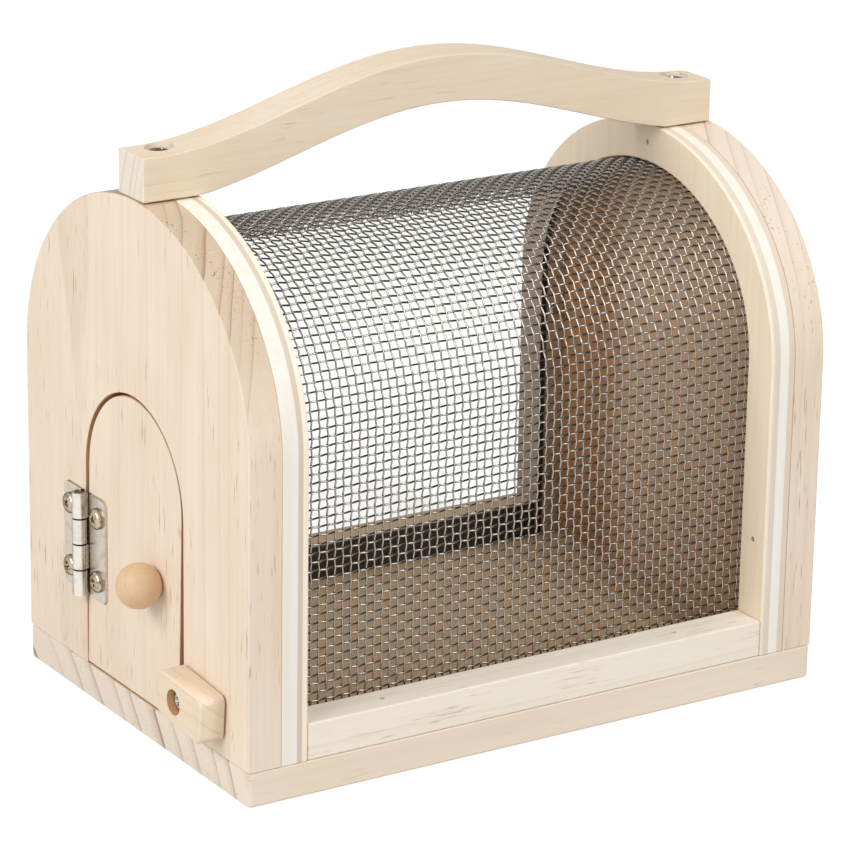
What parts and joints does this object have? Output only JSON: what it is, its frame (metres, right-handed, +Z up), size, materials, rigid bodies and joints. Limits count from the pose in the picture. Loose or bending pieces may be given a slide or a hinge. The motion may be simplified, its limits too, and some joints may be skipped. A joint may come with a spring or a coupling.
{
  "type": "insect viewing box",
  "caption": "Small wooden insect house with an arched wire mesh roof, bow handle, hinged arched door with ball knob and turn button, and a clear rear window.",
  "frame": {"origin": "centre of the base board's underside, on the surface that the box stands on", "axes": "+X along the box from the door end to the plain end, +Y from the mesh front to the window at the rear, +Z up"},
  "size_m": [0.2023, 0.129, 0.1859],
  "materials": {
    "pine_end": "sanded bare pine, long grain upright",
    "pine_base": "sanded bare pine, grain along the box",
    "plywood": "sanded three-layer plywood",
    "handle_wood": "sanded bare pine, eased edges",
    "beech": "turned beech, lightly waxed",
    "button_wood": "sanded bare pine, rounded corners",
    "nickel": "nickel-plated pressed steel",
    "zinc": "zinc-plated steel",
    "mesh_wire": "plain woven bright wire",
    "clear_sheet": "clear plastic sheet"
  },
  "bodies": {
    "frame": {"base_board": "pine_base", "end_board_door": "pine_end", "end_board_plain": "pine_end", "ply_arch_door_end": "plywood", "ply_arch_plain_end": "plywood", "front_rail": "pine_base", "rear_rail": "pine_base", "wire_mesh": "mesh_wire", "rear_window": "clear_sheet", "handle": "handle_wood", "handle_screw_door_end": "zinc", "handle_screw_plain_end": "zinc", "hinge_leaf_frame": "nickel", "hinge_pin": "nickel", "hinge_screw_frame_1": "nickel", "hinge_screw_frame_2": "nickel", "turn_button_screw": "zinc", "base_screw_1": "zinc", "base_screw_2": "zinc", "base_screw_3": "zinc", "base_screw_4": "zinc", "ply_brad_door_end_1": "zinc", "ply_brad_door_end_2": "zinc", "ply_brad_door_end_3": "zinc", "ply_brad_plain_end_1": "zinc", "ply_brad_plain_end_2": "zinc", "ply_brad_plain_end_3": "zinc", "front_rail_brad_1": "zinc", "front_rail_brad_2": "zinc", "rear_rail_brad_1": "zinc", "rear_rail_brad_2": "zinc", "mesh_staple_door_end_1": "zinc", "mesh_staple_door_end_2": "zinc", "mesh_staple_door_end_3": "zinc", "mesh_staple_plain_end_1": "zinc", "mesh_staple_plain_end_2": "zinc", "mesh_staple_plain_end_3": "zinc", "rail_staple_1": "zinc", "rail_staple_2": "zinc", "window_tack_door_end_1": "zinc", "window_tack_door_end_2": "zinc", "window_tack_plain_end_1": "zinc", "window_tack_plain_end_2": "zinc"},
    "door": {"door_panel": "pine_end", "door_knob": "beech", "knob_screw": "zinc", "hinge_leaf_door": "nickel", "hinge_screw_door_1": "nickel", "hinge_screw_door_2": "nickel"},
    "button": {"turn_button": "button_wood"}
  },
  "joints": [
    {"name": "door_hinge", "type": "hinge", "parent": "frame", "child": "door", "pos_m": [-0.09735, 0.02788, 0.0476], "axis": [0, 0, -1], "range_deg": [0, 150]},
    {"name": "button_turn", "type": "hinge", "parent": "frame", "child": "button", "pos_m": [-0.0994, -0.0378, 0.0233], "axis": [1, 0, 0], "continuous": true}
  ]
}
